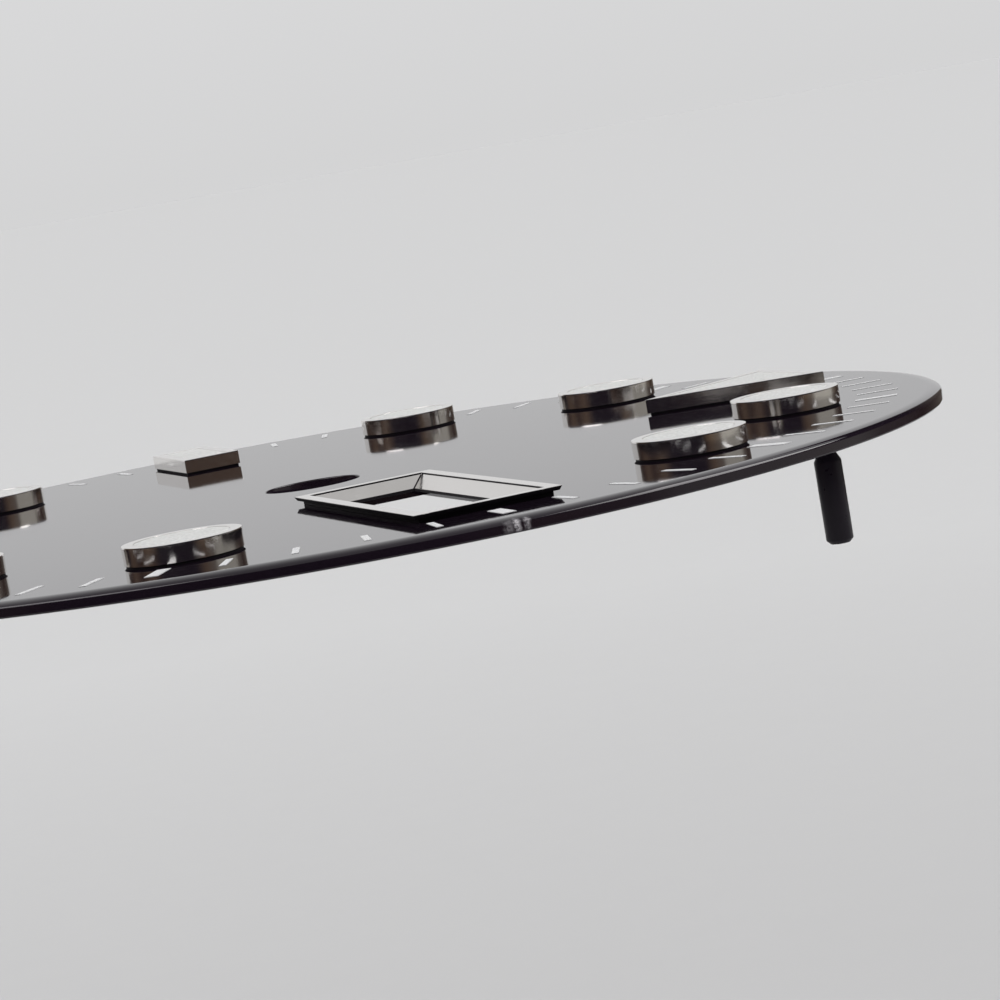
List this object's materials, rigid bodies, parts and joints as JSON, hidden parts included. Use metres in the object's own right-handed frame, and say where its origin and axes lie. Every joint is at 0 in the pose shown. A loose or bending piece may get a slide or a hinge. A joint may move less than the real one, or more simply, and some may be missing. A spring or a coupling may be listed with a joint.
{
  "type": "watch dial",
  "caption": "Round gloss black watch dial with applied luminous hour markers, a framed day and date window, a centre hole and feet on its back.",
  "frame": {"origin": "centre of the plate's back face, on the axis of the centre hole", "axes": "+X to 3 o'clock, +Y to 12 o'clock, +Z out of the face towards the reader"},
  "size_m": [0.0285, 0.0284, 0.0028],
  "materials": {
    "black_lacquer": "gloss lacquer",
    "polished_metal": "polished",
    "white_lume": "fine grained, matte",
    "dark_foot": "satin, dark"
  },
  "bodies": {
    "root": {"bar_marker_06": "polished_metal", "bar_marker_09": "polished_metal", "day_date_frame": "polished_metal", "dial_foot_1": "dark_foot", "dial_foot_2": "dark_foot", "dial_plate": "black_lacquer", "lume_bar_06": "white_lume", "lume_bar_09": "white_lume", "lume_round_01": "white_lume", "lume_round_02": "white_lume", "lume_round_04": "white_lume", "lume_round_05": "white_lume", "lume_round_07": "white_lume", "lume_round_08": "white_lume", "lume_round_10": "white_lume", "lume_round_11": "white_lume", "lume_triangle_12": "white_lume", "round_marker_01": "polished_metal", "round_marker_02": "polished_metal", "round_marker_04": "polished_metal", "round_marker_05": "polished_metal", "round_marker_07": "polished_metal", "round_marker_08": "polished_metal", "round_marker_10": "polished_metal", "round_marker_11": "polished_metal", "triangle_marker_12": "polished_metal"}
  },
  "joints": []
}
